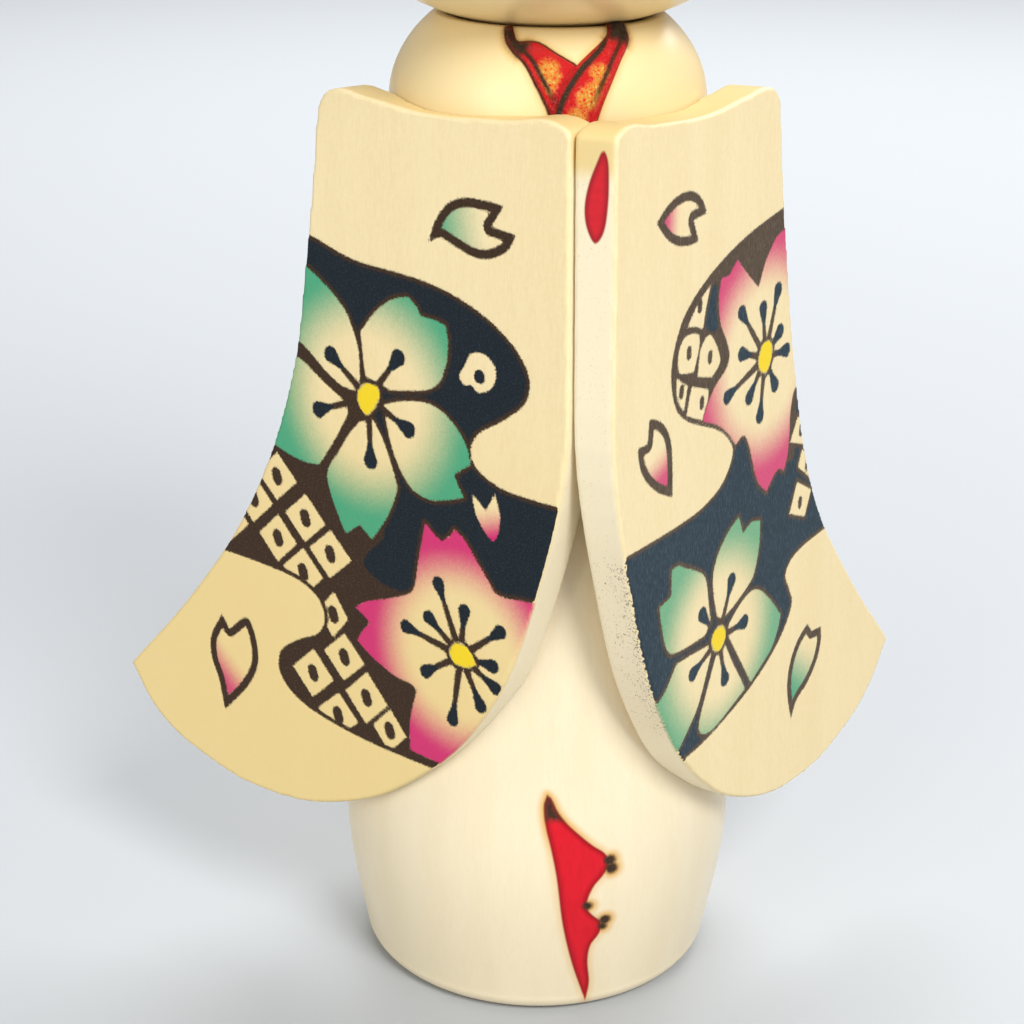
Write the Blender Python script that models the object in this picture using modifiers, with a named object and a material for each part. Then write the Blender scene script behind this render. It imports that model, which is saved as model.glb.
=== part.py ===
"""Kokeshi doll: a turned wooden doll with two flat sleeve boards and a head that turns on a peg.

The doll stands at the origin on its base, +Z is up and its face looks along -Y.  "Left" and
"right" are the doll's own sides, so the right sleeve is at -X.
"""

import math

import bmesh
import bpy
from mathutils import Matrix, Vector
from mathutils.geometry import interpolate_bezier

MM = 0.001

# ---- Fits -----------------------------------------------------------------------------
GAP = 0.3 * MM                   # clearance between two pieces that touch

# ---- Body: one turned block -------------------------------------------------------------
SHOULDER_RADIUS = 22.5 * MM
SHOULDER_HEIGHT = 135.4 * MM     # the domed shoulders start here
DOME_RISE = 17.4 * MM            # height that the whole shoulder dome would have
NECK_HEIGHT = 147.6 * MM         # the dome is cut flat here, under the head
BASE_ROUND = 3.0 * MM            # rounded bottom edge

# The wall below the shoulders down to the rounded bottom edge, as curves through the waist and
# the hip: the two handles and the end of each, (radius, height) in millimetres.
BODY_WALL = (
    ((22.9, 115.0), (26.2, 78.0), (28.0, 50.0)),
    ((28.8, 38.0), (30.5, 33.0), (30.5, 24.0)),
    ((30.5, 16.0), (28.6, 8.0), (27.7, 3.0)),
)

# ---- Head: a turned ball, wider than tall ------------------------------------------------
HEAD_RADIUS = 36.5 * MM
HEAD_CENTRE_HEIGHT = 173.3 * MM
HEAD_LOWER_RISE = 27.8 * MM      # its round underside rests in a shallow dish in the neck
HEAD_UPPER_RISE = 29.0 * MM

# ---- Neck peg: glued in the body, and the head turns on it ---------------------------------
PEG_RADIUS = 5.0 * MM
PEG_BOTTOM = 134.0 * MM
PEG_TOP = 158.0 * MM
PEG_CHAMFER = 0.8 * MM

# ---- Sleeves: two flat boards in a V, the right one butting on the left one's inner face ----
BOARD_THICKNESS = 6.6 * MM
BOARD_EDGE_ROUND = 0.5 * MM
BOARD_YAW = math.radians(45.0)   # each board's angle from the doll's middle plane
BOARD_TILT = math.radians(3.4)   # both boards lean in towards the neck
LEFT_FACE_DISTANCE = 36.6 * MM   # from the origin square to the left board's outer face
RIGHT_FACE_DISTANCE = 33.4 * MM
FRONT_STEP = 0.5 * MM            # the left board's front edge stands this far behind the right face
OUTLINE_SHIFT = 3.3 * MM         # the left outline sits this far forward, the right one back

SLEEVE_TOP = 136.3 * MM
SLEEVE_CORNER_ROUND = 1.5 * MM
FRONT_EDGE_FOOT = 99.0 * MM      # the straight front edge ends here and the hem's curve starts
FRONT_HANDLES = {                # outline handles below and above the front edge's two ends
    "FRONT_FOOT": (9.0 * MM, 9.0 * MM),
    "FRONT_CORNER": (9.0 * MM, 0.8 * MM),
}

# The outline behind the front edge, from the dip in the top edge round the trailing edge and
# the pointed tip to the front of the hem: (distance back, height, skew).  The hand-cut boards
# differ a little: a point sits its skew farther back on the left board, farther forward on the
# right one.
SLEEVE_OUTLINE = (
    (-13.0, 135.8, 0.9),
    (0.0, 135.1, 0.9),
    (10.0, 136.0, 0.9),
    (16.3, 136.3, 0.9),
    (18.0, 135.0, 1.0),
    (18.8, 131.0, 0.9),
    (19.1, 126.0, 0.9),
    (20.4, 113.0, 1.0),
    (23.1, 94.0, 1.1),
    (30.1, 73.0, 0.1),
    (41.4, 56.0, 0.0),
    (56.3, 38.8, 0.0),
    (50.0, 31.9, -0.3),
    (39.0, 27.2, -0.2),
    (26.0, 25.6, 0.0),
    (11.0, 28.7, 0.0),
    (-3.0, 37.4, 0.4),
    (-14.5, 52.0, 1.4),
    (-21.1, 70.0, 1.7),
)
SLEEVE_TIP = 11                  # the one outline point that is a sharp corner

# ---- Sleeve pins: short dowels, glued in the body and in blind holes of the boards -----------
PIN_RADIUS = 2.0 * MM
PIN_IN_BODY = 7.0 * MM
PIN_IN_BOARD = 2.4 * MM
LEFT_PIN_BACK = 1.0 * MM         # how far along the board the pins sit, behind the body's axis
RIGHT_PIN_BACK = 8.5 * MM        # farther back, where the hollow leaves enough wood
PIN_HEIGHTS = {"lower": 62.0 * MM, "upper": 108.0 * MM}

# ---- Facets -------------------------------------------------------------------------------
TURNED_STEPS = 72
ARC_STEPS = 12
DISH_STEPS = 4
PEG_STEPS = 24

CREAM_WOOD = (0.84, 0.70, 0.44)
PALE_WOOD = (0.88, 0.77, 0.55)
PEG_WOOD = (0.70, 0.52, 0.30)


def clear_scene():
    for obj in list(bpy.data.objects):
        bpy.data.objects.remove(obj, do_unlink=True)


def new_collection(name):
    collection = bpy.data.collections.new(name)
    bpy.context.scene.collection.children.link(collection)
    return collection


def wood(name, colour, roughness):
    material = bpy.data.materials.new(name)
    material.use_nodes = True
    shader = material.node_tree.nodes["Principled BSDF"]
    shader.inputs["Base Color"].default_value = (*colour, 1.0)
    shader.inputs["Roughness"].default_value = roughness
    shader.inputs["Metallic"].default_value = 0.0
    return material


def add_object(name, data, collection, material=None):
    obj = bpy.data.objects.new(name, data)
    collection.objects.link(obj)
    if material is not None:
        data.materials.append(material)
    return obj


def make_cutter(obj):
    obj.hide_render = True
    obj.display_type = "WIRE"


def cut(target, cutter):
    boolean = target.modifiers.new("Cut " + cutter.name, "BOOLEAN")
    boolean.operation = "DIFFERENCE"
    boolean.solver = "EXACT"
    boolean.object = cutter


def arc(centre_r, centre_z, radius_r, radius_z, start, end):
    """Points of an elliptic arc in the profile plane, both ends included."""
    points = []
    for step in range(ARC_STEPS + 1):
        angle = start + (end - start) * step / ARC_STEPS
        points.append((centre_r + radius_r * math.cos(angle), centre_z + radius_z * math.sin(angle)))
    return points


def bezier(start, handle_a, handle_b, end):
    """Points of a smooth wall in the profile plane, without its first point."""
    knots = [Vector((r, z, 0.0)) for r, z in (start, handle_a, handle_b, end)]
    return [(point.x, point.y) for point in interpolate_bezier(*knots, ARC_STEPS)[1:]]


def turned(name, profile, steps, collection, material=None):
    """A lathe-turned solid from an (r, z) profile that runs down its outer side."""
    mesh = bpy.data.meshes.new(name)
    bm = bmesh.new()
    verts = [bm.verts.new((r, 0.0, z)) for r, z in profile]
    for first, second in zip(verts, verts[1:]):
        bm.edges.new((first, second))
    bm.to_mesh(mesh)
    bm.free()
    obj = add_object(name, mesh, collection, material)
    screw = obj.modifiers.new("Lathe", "SCREW")
    screw.axis = "Z"
    screw.steps = steps
    screw.render_steps = steps
    screw.use_merge_vertices = True
    screw.merge_threshold = 0.00001
    screw.use_smooth_shade = True
    return obj


def body_profile(grow=0.0):
    """The turned outside of the body, from the rim of the neck down to the base's centre."""
    neck_angle = math.asin((NECK_HEIGHT - SHOULDER_HEIGHT) / DOME_RISE)
    profile = arc(0.0, SHOULDER_HEIGHT, SHOULDER_RADIUS + grow, DOME_RISE, neck_angle, 0.0)
    for curve in BODY_WALL:
        profile += bezier(profile[-1], *[(r * MM + grow, z * MM) for r, z in curve])
    foot_radius = profile[-1][0]
    edge = arc(foot_radius - BASE_ROUND, BASE_ROUND, BASE_ROUND, BASE_ROUND, 0.0, -math.pi / 2)
    return profile + edge[1:] + [(0.0, 0.0)]


def head_underside(radius):
    """Height of the head's round underside at a distance from its axis."""
    return HEAD_CENTRE_HEIGHT - HEAD_LOWER_RISE * math.sqrt(1.0 - (radius / HEAD_RADIUS) ** 2)


def body(collection, material):
    """The body, with its peg hole and the dish that the head's underside rests in."""
    bore_radius = PEG_RADIUS + GAP
    share = (HEAD_CENTRE_HEIGHT - NECK_HEIGHT - GAP) / HEAD_LOWER_RISE
    dish_radius = HEAD_RADIUS * math.sqrt(1.0 - share ** 2)
    top = [(0.0, PEG_BOTTOM - GAP), (bore_radius, PEG_BOTTOM - GAP)]
    for step in range(DISH_STEPS + 1):
        radius = bore_radius + (dish_radius - bore_radius) * step / DISH_STEPS
        top.append((radius, head_underside(radius) - GAP))
    return turned("body", top + body_profile(), TURNED_STEPS, collection, material)


def head(collection, material):
    """The head, with the hole that turns on the neck peg."""
    bore_radius = PEG_RADIUS + GAP
    bore_edge = -math.acos(bore_radius / HEAD_RADIUS)
    crown = arc(0.0, HEAD_CENTRE_HEIGHT, HEAD_RADIUS, HEAD_UPPER_RISE, math.pi / 2, 0.0)
    crown[0] = (0.0, crown[0][1])
    jaw = arc(0.0, HEAD_CENTRE_HEIGHT, HEAD_RADIUS, HEAD_LOWER_RISE, 0.0, bore_edge)
    bore = [(bore_radius, PEG_TOP + GAP), (0.0, PEG_TOP + GAP)]
    return turned("head", crown + jaw[1:] + bore, TURNED_STEPS, collection, material)


def dowel_profile(radius, bottom, top, chamfer):
    return [(0.0, top), (radius - chamfer, top), (radius, top - chamfer),
            (radius, bottom + chamfer), (radius - chamfer, bottom), (0.0, bottom)]


def neck_peg(collection, material):
    profile = dowel_profile(PEG_RADIUS, PEG_BOTTOM, PEG_TOP, PEG_CHAMFER)
    return turned("neck_peg", profile, PEG_STEPS, collection, material)


def board_frame(side):
    """Axes of a board: back along it, up it, and out of its outer face (side -1 is the right)."""
    back = Vector((side * math.sin(BOARD_YAW), math.cos(BOARD_YAW), 0.0))
    level_out = Vector((side * math.cos(BOARD_YAW), -math.sin(BOARD_YAW), 0.0))
    out = level_out * math.cos(BOARD_TILT) + Vector((0.0, 0.0, math.sin(BOARD_TILT)))
    up = Vector((0.0, 0.0, math.cos(BOARD_TILT))) - level_out * math.sin(BOARD_TILT)
    return back, up, out


def frame_matrix(x_axis, y_axis, origin):
    """A right-handed frame from two of its axes and its origin."""
    matrix = Matrix((x_axis, y_axis, x_axis.cross(y_axis))).transposed().to_4x4()
    matrix.translation = origin
    return matrix


def front_edge(side, height):
    """Where a board's straight front edge lies at a height, along the board."""
    if side > 0:
        reach = RIGHT_FACE_DISTANCE - FRONT_STEP - LEFT_FACE_DISTANCE * math.sin(BOARD_TILT) ** 2
    else:
        reach = LEFT_FACE_DISTANCE - BOARD_THICKNESS - GAP
        reach -= RIGHT_FACE_DISTANCE * math.sin(BOARD_TILT) ** 2
    return height * math.sin(BOARD_TILT) - reach / math.cos(BOARD_TILT)


def sleeve_outline(side):
    """A board's closed outline: (point, handle kind), with the straight front edge first."""
    corner = SLEEVE_TOP - SLEEVE_CORNER_ROUND
    outline = [
        ((front_edge(side, FRONT_EDGE_FOOT), FRONT_EDGE_FOOT), "FRONT_FOOT"),
        ((front_edge(side, corner), corner), "FRONT_CORNER"),
        ((front_edge(side, SLEEVE_TOP) + SLEEVE_CORNER_ROUND, SLEEVE_TOP), "AUTO"),
    ]
    for index, (back, height, skew) in enumerate(SLEEVE_OUTLINE):
        kind = "VECTOR" if index == SLEEVE_TIP else "AUTO"
        place = ((back + side * skew) * MM - side * OUTLINE_SHIFT, height * MM)
        outline.append((place, kind))
    return outline


def shape_point(point, place, kind):
    """Puts an outline point in place with smooth, cornered or front-edge handles."""
    point.co = (*place, 0.0)
    if kind in FRONT_HANDLES:
        below, above = FRONT_HANDLES[kind]
        rise = Vector((math.sin(BOARD_TILT), math.cos(BOARD_TILT), 0.0))
        point.handle_left_type = "FREE"
        point.handle_right_type = "FREE"
        point.handle_left = point.co - rise * below
        point.handle_right = point.co + rise * above
    else:
        point.handle_left_type = kind
        point.handle_right_type = kind


def board_blank(name, side, distance, collection):
    """The flat board before it is hollowed, as a mesh with eased edges."""
    curve = bpy.data.curves.new(name, "CURVE")
    curve.dimensions = "2D"
    curve.fill_mode = "BOTH"
    curve.extrude = BOARD_THICKNESS / 2 - BOARD_EDGE_ROUND
    curve.bevel_depth = BOARD_EDGE_ROUND
    curve.bevel_resolution = 1
    curve.offset = -BOARD_EDGE_ROUND
    curve.resolution_u = 6
    spline = curve.splines.new("BEZIER")
    outline = sleeve_outline(side)
    spline.bezier_points.add(len(outline) - 1)
    for point, (place, kind) in zip(spline.bezier_points, outline):
        shape_point(point, place, kind)
    spline.use_cyclic_u = True
    flat = bpy.data.objects.new(name + " outline", curve)
    collection.objects.link(flat)
    bpy.context.view_layer.update()
    evaluated = flat.evaluated_get(bpy.context.evaluated_depsgraph_get())
    mesh = bpy.data.meshes.new_from_object(evaluated)
    bpy.data.objects.remove(flat, do_unlink=True)
    back, up, out = board_frame(side)
    mesh.transform(frame_matrix(back, up, out * (distance - BOARD_THICKNESS / 2)))
    bm = bmesh.new()
    bm.from_mesh(mesh)
    bmesh.ops.remove_doubles(bm, verts=bm.verts, dist=0.00001)
    bmesh.ops.recalc_face_normals(bm, faces=bm.faces)
    bm.to_mesh(mesh)
    bm.free()
    mesh.name = name
    return mesh


def sleeve(name, side, distance, collection, material, hollow):
    mesh = board_blank(name, side, distance, collection)
    mesh.materials.clear()
    obj = add_object(name, mesh, collection, material)
    cut(obj, hollow)
    return obj


def contact_distance(pin_back, height):
    """How far out, square to a board, the body's surface is under a pin."""
    steps = body_profile()
    level = height * math.cos(BOARD_TILT)
    for (upper_r, upper_z), (lower_r, lower_z) in zip(steps, steps[1:]):
        if lower_z <= level <= upper_z:
            share = (upper_z - level) / (upper_z - lower_z)
            radius = upper_r + (lower_r - upper_r) * share
            return math.sqrt(radius ** 2 - pin_back ** 2) + level * math.sin(BOARD_TILT)
    raise ValueError("the pin is above or below the body")


def sleeve_pin(name, side, pin_back, height, collection, cutters, material, joined):
    """A dowel across the seam between the body and a board, with its blind holes in both."""
    back, up, out = board_frame(side)
    place = back * pin_back + up * height + out * contact_distance(pin_back, height)
    matrix = frame_matrix(up, out.cross(up), place)
    profile = dowel_profile(PIN_RADIUS, -PIN_IN_BODY, PIN_IN_BOARD, GAP)
    pin = turned(name, profile, PEG_STEPS, collection, material)
    pin.matrix_world = matrix
    hole_profile = dowel_profile(PIN_RADIUS + GAP, -PIN_IN_BODY - GAP, PIN_IN_BOARD + GAP, GAP)
    hole = turned(name + " hole", hole_profile, PEG_STEPS, cutters)
    hole.matrix_world = matrix
    make_cutter(hole)
    for obj in joined:
        cut(obj, hole)


def build():
    clear_scene()
    parts = new_collection("Kokeshi doll")
    cutters = new_collection("Cutters")
    body_wood = wood("body_wood", CREAM_WOOD, 0.42)
    head_wood = wood("head_wood", CREAM_WOOD, 0.42)
    sleeve_wood = wood("sleeve_wood", PALE_WOOD, 0.5)
    peg_wood = wood("peg_wood", PEG_WOOD, 0.6)

    body_obj = body(parts, body_wood)
    head(parts, head_wood)
    neck_peg(parts, peg_wood)

    hollow_profile = [(0.0, NECK_HEIGHT)] + body_profile(GAP)
    hollow = turned("sleeve hollow", hollow_profile, TURNED_STEPS, cutters)
    make_cutter(hollow)

    for name, side, distance, pin_back in (("left", 1, LEFT_FACE_DISTANCE, LEFT_PIN_BACK),
                                           ("right", -1, RIGHT_FACE_DISTANCE, RIGHT_PIN_BACK)):
        board = sleeve("sleeve_" + name, side, distance, parts, sleeve_wood, hollow)
        for place, height in PIN_HEIGHTS.items():
            sleeve_pin("sleeve_pin_" + name + "_" + place, side, pin_back, height, parts, cutters,
                       peg_wood, (body_obj, board))


build()
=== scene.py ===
"""Looks of the kokeshi doll: fine turned wood, burnt and airbrushed blossoms, lacquered collar.

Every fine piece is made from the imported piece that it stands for.  Drawn outlines are in
millimetres: on a sleeve board as (back, up), on a turned piece as (degrees from the front,
height).  A point in square brackets is a corner; an outline is smooth at every other point.
"""
import math

import bmesh
import bpy
import numpy as np
from mathutils import Matrix, Vector


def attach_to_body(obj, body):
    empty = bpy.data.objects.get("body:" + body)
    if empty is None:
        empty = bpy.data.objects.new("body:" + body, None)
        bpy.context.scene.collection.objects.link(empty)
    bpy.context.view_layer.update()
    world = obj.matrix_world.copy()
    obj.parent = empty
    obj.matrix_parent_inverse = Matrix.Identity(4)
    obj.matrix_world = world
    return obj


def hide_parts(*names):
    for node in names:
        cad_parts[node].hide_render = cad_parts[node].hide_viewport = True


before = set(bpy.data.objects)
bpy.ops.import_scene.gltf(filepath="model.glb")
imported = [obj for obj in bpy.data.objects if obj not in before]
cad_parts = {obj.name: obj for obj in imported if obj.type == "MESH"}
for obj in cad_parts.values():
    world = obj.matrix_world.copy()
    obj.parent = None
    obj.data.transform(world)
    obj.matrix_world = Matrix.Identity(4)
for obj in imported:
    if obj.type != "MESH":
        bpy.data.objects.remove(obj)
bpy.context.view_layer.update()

MM = 0.001
FAR = 9.0  # mm, a distance that means "nowhere near"
LINE_STEPS = 6  # points between two points of a drawn outline

# ---- Fine meshes ----
BOARD_CELL = 0.42  # mm between the points of a board
TURNED_CELL = 0.3  # mm between the rings of a turned piece where it is painted
PLAIN_CELL = 1.2  # and where it is plain wood
FRONT_HALF_WIDTH = 44  # degrees each side of the front that are meshed finely
FRONT_STEP = 0.8  # degrees
BACK_STEP = 3.0

# ---- Boards ----
DRAWING_SHIFT = 3.3  # the drawing sits this far back on the right board, forward on the left
RIM = 0.62  # brown burnt rim round the dark blue areas
BURN_DEPTH = 0.05  # how deep a burnt line sinks
FACE_SNAP = 0.15  # points this near a board's face are put exactly on it
DRAWN_DEPTH = 0.28  # the drawing ends where the edge rounds over by this much

# ---- Colours, linear ----
BOARD_WOOD = (0.86, 0.71, 0.42)
BOARD_WOOD_DEEP = (0.82, 0.65, 0.36)
# painted shade: the boards' wood darkens to this towards their tips and on their top edges
SHADED_BOARD_WOOD = (0.80, 0.60, 0.25)
BODY_WOOD = (0.85, 0.73, 0.51)
BODY_WOOD_DEEP = (0.82, 0.69, 0.46)
# painted shade: the turned wood deepens to this towards the dome and under the head
SHADED_BODY_WOOD = (0.85, 0.67, 0.35)
END_GRAIN = (0.90, 0.79, 0.56)
STAIN = (0.66, 0.50, 0.34)
SPECK = (0.12, 0.075, 0.045)
PEG_WOOD = (0.62, 0.45, 0.25)
PEG_WOOD_DEEP = (0.52, 0.36, 0.19)
BURNT = (0.042, 0.022, 0.012)
DARK_BLUE = (0.010, 0.015, 0.021)
WORN_BURNT = (0.16, 0.12, 0.085)
WORN_BLUE = (0.060, 0.095, 0.120)
SCORCH = (0.70, 0.36, 0.05)
GREEN = (0.018, 0.33, 0.17)
PINK = (0.60, 0.008, 0.14)
YELLOW = (0.86, 0.62, 0.01)
RED = (0.66, 0.010, 0.022)
LACQUER_RED = (0.62, 0.002, 0.006)
GOLD = (0.90, 0.36, 0.04)
# the gold leaf's paler patches, partly its own tone and partly a painted highlight
PALE_GOLD_AND_HIGHLIGHT = (1.0, 0.66, 0.20)
HAIR = (0.010, 0.008, 0.007)
LIP = (0.60, 0.03, 0.03)
BLUSH = (0.80, 0.22, 0.16)


# ==== Drawing with distances ====

def outline(points, closed=True):
    """A fine line through the points: smooth, except at the corners and at an open line's ends."""
    places = np.array([tuple(point) for point in points], float)
    count = len(places)

    def heading(index, towards):
        ahead = places[(index + 1) % count] - places[index]
        behind = places[index] - places[index - 1]
        is_end = not closed and index in (0, count - 1)
        if isinstance(points[index], list) or is_end:
            side = ahead if towards > 0 else behind
            return side / np.linalg.norm(side)
        return (ahead + behind) / (np.linalg.norm(ahead) + np.linalg.norm(behind))

    line = []
    for index in range(count if closed else count - 1):
        after = (index + 1) % count
        start, end = places[index], places[after]
        length = np.linalg.norm(end - start)
        leave, arrive = heading(index, 1) * length, heading(after, -1) * length
        for t in np.arange(LINE_STEPS) / LINE_STEPS:
            line.append((2 * t ** 3 - 3 * t ** 2 + 1) * start + (t ** 3 - 2 * t ** 2 + t) * leave
                        + (3 * t ** 2 - 2 * t ** 3) * end + (t ** 3 - t ** 2) * arrive)
    if not closed:
        line.append(places[-1])
    return np.array(line)


def distance(places, line, closed=True):
    """Distance of each place to a line, in mm and negative inside a closed one."""
    low, high = line.min(0) - FAR / 2, line.max(0) + FAR / 2
    close = ((places > low) & (places < high)).all(1)
    near = places[close]
    best = np.full(len(near), FAR ** 2)
    inside = np.zeros(len(near), bool)
    ends = np.roll(line, -1, axis=0)
    for start, end in zip(line, ends) if closed else zip(line[:-1], line[1:]):
        edge = end - start
        span = edge @ edge
        if span == 0:
            continue
        to_place = near - start
        share = np.clip(to_place @ edge / span, 0, 1)
        best = np.minimum(best, ((to_place - share[:, None] * edge) ** 2).sum(1))
        if closed and edge[1] != 0:
            crosses = (start[1] > near[:, 1]) != (end[1] > near[:, 1])
            inside ^= crosses & (near[:, 0] < start[0] + to_place[:, 1] * edge[0] / edge[1])
    result = np.full(len(places), FAR)
    result[close] = np.where(inside, -1, 1) * np.sqrt(best)
    return result


def shape(places, points):
    return distance(places, outline(points))


def spot(places, centre, radius):
    return np.linalg.norm(places - np.array(centre), axis=1) - radius


def diamond(places, centre, half_width, half_height):
    """Distance to a square that stands on its corner."""
    across, up = np.abs(places - np.array(centre)).T
    slope = math.hypot(1 / half_width, 1 / half_height)
    return (across / half_width + up / half_height - 1) / slope


def drop(places, start, end, start_width, end_width):
    """Distance to a stroke whose half width changes evenly from its start to its end."""
    start, end = np.array(start, float), np.array(end, float)
    along = end - start
    share = np.clip((places - start) @ along / (along @ along), 0, 1)
    centre = start + share[:, None] * along
    return np.linalg.norm(places - centre, axis=1) - (start_width + (end_width - start_width) * share)


def stroke(places, points, half_width):
    return distance(places, outline(points, closed=False), closed=False) - half_width


def ease(low, high, value):
    t = np.clip((value - low) / (high - low), 0, 1)
    return t * t * (3 - 2 * t)


class Drawing:
    """What is drawn on a piece, at each of its points: burnt and dark areas, paint and scorch."""

    def __init__(self, places):
        self.places = places
        self.burnt = np.full(len(places), FAR)
        self.dark = np.full(len(places), FAR)
        self.red = np.full(len(places), FAR)
        self.paint = np.zeros((len(places), 4))
        self.scorch = np.zeros(len(places))

    def burn(self, area):
        self.burnt = np.minimum(self.burnt, area)

    def darken(self, area):
        self.dark = np.minimum(self.dark, area)
        self.burn(area)

    def leave(self, area, rim=RIM):
        """Leaves bare wood, with a burnt rim between it and a dark area."""
        self.burnt = np.maximum(self.burnt, -area)
        self.dark = np.maximum(self.dark, rim - area)

    def colour(self, area, colour, strength):
        amount = np.clip(strength, 0, 1) * (area < RIM / 2)
        stronger = amount > self.paint[:, 3]
        self.paint[stronger, :3] = colour
        self.paint[stronger, 3] = amount[stronger] if np.ndim(amount) else amount

    def redden(self, area):
        self.red = np.minimum(self.red, area)

    def singe(self, area, reach, strength):
        """A scorched halo that fades over its reach outside an area."""
        self.scorch = np.maximum(self.scorch, strength * (1 - ease(0, reach, area)))


def airbrush(places, start, end):
    """Strength that grows from 0 at start to 1 at end."""
    start, end = np.array(start, float), np.array(end, float)
    along = end - start
    return ease(0, 1, (places - start) @ along / (along @ along))


# ==== The right board's drawing (the doll's right, at -X) ====

RIGHT_CLOUD = (
    (24, 115), (10, 113.3), (0, 112.7), (-6, 111.8), (-12, 109.8), (-17.5, 106.5), (-20.5, 102.5),
    (-20, 98.9), (-16.5, 95.7), (-12.4, 92.9), (-11.2, 90.2), (-12.4, 88), (-16, 86.3), (-20, 85.8),
    [-30, 85.7], [-26, 60], [-10, 38], [-6.5, 40.3], (4, 40.6), (13, 41.6), (20, 43.5), (23.6, 46.6),
    (23.6, 50.2), (20, 53.2), (16, 55.4), (14.8, 58.2), (16.2, 61), (20, 62.8), (27, 63.5), [40, 63.8],
    [36, 90])
RIGHT_DARK = (
    [26, 117], [-32, 117], [-32, 60], [-12, 60], [-1.4, 66.4], (3.6, 66.6), (7.4, 68.6), (6.4, 71),
    (4, 73.5), (3.4, 77), [1.4, 82], [8, 96], [26, 104])
RIGHT_GREEN_PETALS = (
    ([7.9, 97], [9, 103.3], (6.6, 106.4), (3.5, 108.9), [0.7, 109.8], (-0.7, 108.9), [-1.8, 107.5],
     (-4.2, 107.4), [-6.1, 107], (-6.6, 104.5), (-6.5, 102), (-5.4, 98.9), (-3.4, 97.4), (-0.3, 96.6),
     [3.5, 95.9], [4.9, 96.5]),
    ([4.4, 93.6], (1, 94.8), (-3.4, 95.4), (-6.5, 94.5), (-9.3, 92.3), (-10.6, 90.4), [-11.3, 88.3],
     (-10.2, 87.5), [-8.5, 86.2], (-9.2, 84.8), [-10.4, 83.3], (-7.8, 82.3), (-4.3, 81.5), (-1.2, 82.3),
     (0.7, 84.2), (2.6, 87.3), [3.8, 90.8]),
    ([6.3, 91], (4.4, 88.3), (2.9, 85.4), [1.5, 82], (2.3, 79.2), (3.8, 76.1), [6, 72.9], [8.3, 74.6],
     [11, 72.6], (13.2, 76.4), (14.7, 80.2), (14.4, 82), (12.6, 84.8), (10.7, 87.9), [8.8, 90.1]),
    ([11, 90.8], (12.9, 87.3), (15, 83.9), [16.3, 82], (18.5, 81.7), (21.6, 82.1), [25, 83], [32, 84],
     [28, 98], (21.9, 97.6), (19.8, 97), (16.9, 95.3), (13.8, 93.6), [11.3, 92.5]),
    ([8.8, 95.3], (9, 97.6), (9.4, 100.8), (10.4, 103.3), (11.9, 105.8), (14.8, 108.3), (17.6, 110),
     [20, 111.2], [28, 112], [27, 101.5], (21.3, 100.1), (18.5, 98.6), (15.4, 96.4), (12.3, 94.8),
     [9.8, 94.5]))
RIGHT_GREEN_HEART = ((9.2, 94.5), (8, 96), [5.5, 96], (5.2, 94.5), [6, 92.7], (7.5, 91.3), (9.1, 92.8))
RIGHT_GREEN_ANTHERS = ((14.4, 98.9), (2.1, 100.8), (16.5, 90.3), (-0.1, 90.9), (6.6, 84.8))
RIGHT_PINK = (
    [-3.7, 77.9], (-5.6, 76.4), [-6.8, 75.9], (-8.1, 77), [-9, 78.2], (-10.9, 77), (-12.8, 74.8),
    (-15.3, 72), [-16.3, 70.7], (-18.4, 70.4), (-21.5, 70.8), [-30, 71], [-24, 52], [-10, 41.5],
    [-2.3, 41.9], (-2.1, 46.4), (-2.6, 49.5), [-3.2, 51.8], (-2.1, 52.5), (0.7, 52.8), (3.8, 53.9),
    (6.3, 55.1), [8.4, 56.5], (7.5, 58), [6, 60], (7.4, 60.8), [8.9, 61.6], (6.6, 63.1), (3.5, 64.3),
    (0, 65.8), [-1.6, 66.7], (-2.2, 68), (-2.6, 71.4), (-3.1, 74.5))
RIGHT_PINK_HEART = (
    (-8.8, 59.5), (-9.6, 61.1), (-11, 61.5), (-12.4, 60.8), [-13.8, 59], (-12.1, 58), (-9.9, 58.1))
RIGHT_PINK_ANTHERS = (
    (-6.4, 69.4), (-11.2, 66.5), (-17.6, 65.1), (-16.6, 59.6), (-17.3, 56.4), (-14.8, 52.9),
    (-9.9, 49.3), (-4.7, 55.3), (-0.8, 61.2), (-4.9, 63.8))
# Each cell of the dappled lattice: its middle, its half width and its half height.
RIGHT_CELLS = (
    (24.6, 78.2, 4.0, 3.7), (18.9, 73.0, 4.0, 3.8), (13.9, 68.6, 4.1, 3.8), (24.3, 68.5, 3.8, 3.8),
    (19.2, 64.4, 4.0, 3.8), (29.3, 73.6, 3.9, 3.8), (34.0, 69.2, 3.7, 3.6), (13.1, 59.2, 2.9, 3.7),
    (10.8, 53.0, 4.0, 3.8), (16.9, 48.6, 4.1, 4.0), (6.3, 47.7, 4.1, 4.2), (11.8, 43.2, 4.0, 3.7),
    (1.7, 43.8, 3.2, 3.5))
RIGHT_BUD = (
    (-10.6, 103.9), (-12.8, 104.3), (-14.7, 102.9), (-14.9, 101.1), (-14, 99.5), [-12.1, 98.7],
    [-10.9, 99.6], (-9.6, 99.4), (-8.8, 100.4), (-9.7, 102.2))
RIGHT_BUD_EYE = (-12.2, 101.0)
BUD_EYE_RADIUS = 1.0
RIGHT_FALLING = (
    [-11.8, 84.1], (-12.8, 83.4), [-14.2, 82.2], (-14.9, 83.6), [-15.6, 85.1], (-16.7, 82),
    (-16.4, 79.2), (-15.6, 78.2), (-14, 79.4), (-12.4, 81.7))
RIGHT_LOOSE_GREEN = (
    [-2.6, 117.8], (-3.6, 120.9), (-5.6, 123.6), (-8.4, 124.9), (-12, 125), [-15.1, 124.8],
    [-13.1, 121.7], [-17.2, 121.3], (-16.2, 119.2), (-13.5, 117.5), (-10.5, 117.2), (-7.2, 118.1),
    (-4.6, 118.9))
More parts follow.
